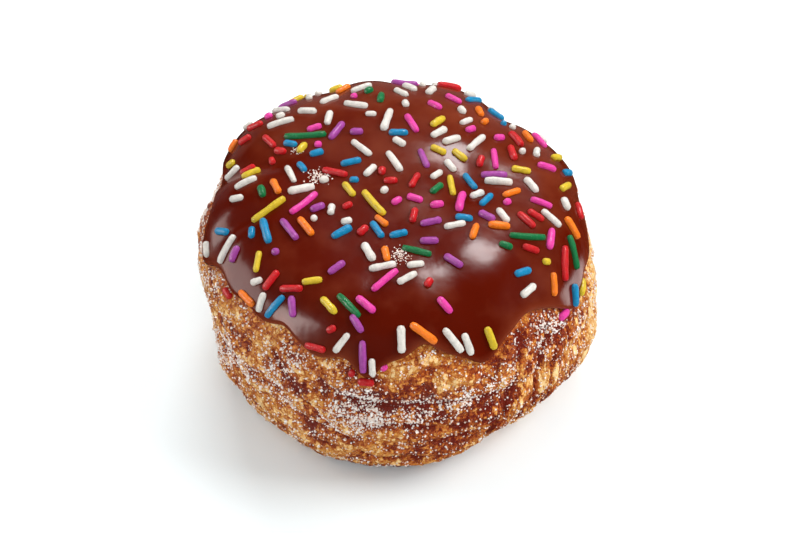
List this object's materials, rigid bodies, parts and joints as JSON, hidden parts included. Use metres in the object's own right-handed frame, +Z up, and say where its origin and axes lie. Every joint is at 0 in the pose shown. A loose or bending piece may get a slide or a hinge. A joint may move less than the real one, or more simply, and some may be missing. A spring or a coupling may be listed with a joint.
{
  "type": "sprinkle frosted doughnut",
  "caption": "Tall round doughnut of folded, sugared dough with a closed top, a lobed cap of chocolate icing and scattered sprinkles.",
  "frame": {"origin": "middle of the flat underside that the doughnut rests on", "axes": "+Z up through the middle of the iced top; -Y towards the front, the side that faces the camera; +X to the right seen from the front"},
  "size_m": [0.0909, 0.0956, 0.0515],
  "materials": {
    "dough": "golden-brown fried dough, matt, rough with sugar grains",
    "icing": "smooth glossy chocolate icing with sprinkles set in it"
  },
  "bodies": {
    "root": {"dough": "dough", "icing": "icing"}
  },
  "joints": []
}
